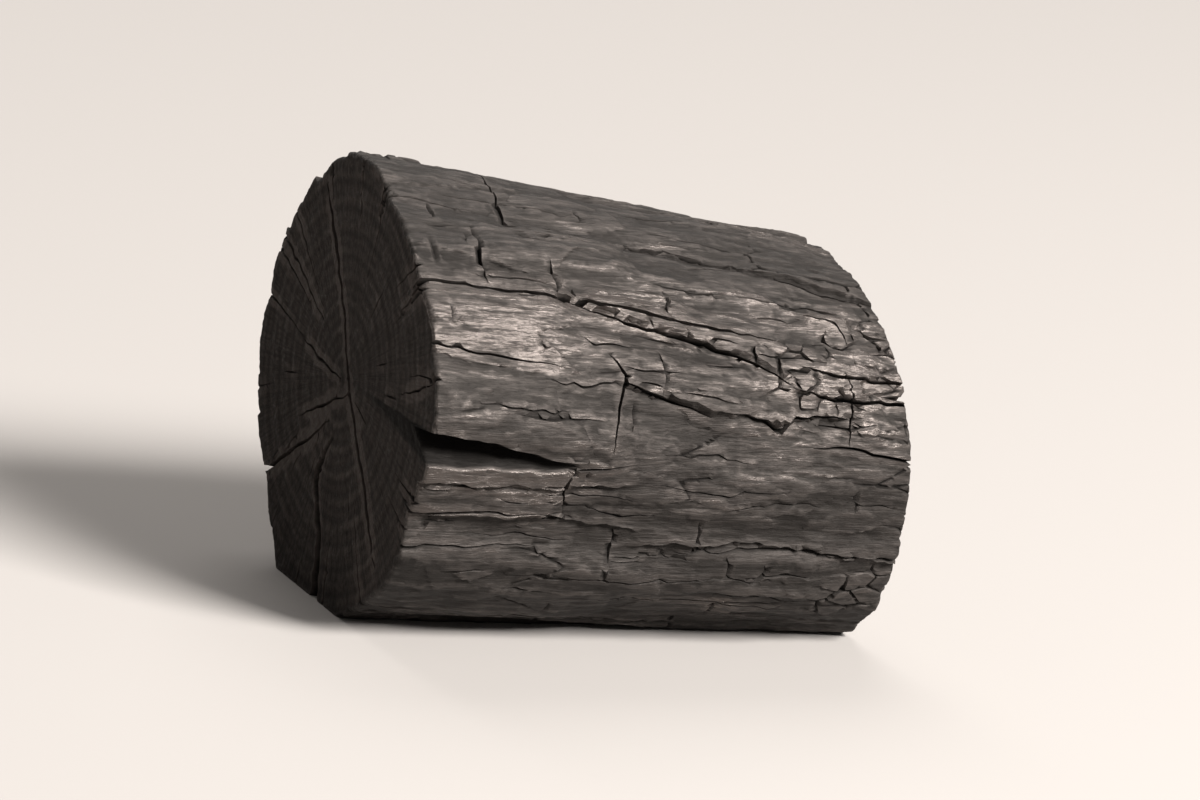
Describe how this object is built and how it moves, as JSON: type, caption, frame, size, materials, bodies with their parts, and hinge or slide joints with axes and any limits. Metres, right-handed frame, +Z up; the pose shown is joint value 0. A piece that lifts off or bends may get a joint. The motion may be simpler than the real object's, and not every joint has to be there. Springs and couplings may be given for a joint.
{
  "type": "charcoal lump",
  "caption": "Short sawn log of wood charcoal with a tapering, cracked and ridged side, for a grill, a fire bowl or a set-dressing pile.",
  "frame": {"origin": "middle of the footprint, on the ground that the lump rests on", "axes": "+X along the log from its larger sawn end to its smaller end, +Z up"},
  "size_m": [0.078, 0.0623, 0.062],
  "materials": {
    "charcoal": "charred wood: near-black, dull on the sawn ends, with a silvery sheen along the grain of the side"
  },
  "bodies": {
    "root": {"charcoal_lump": "charcoal"}
  },
  "joints": []
}
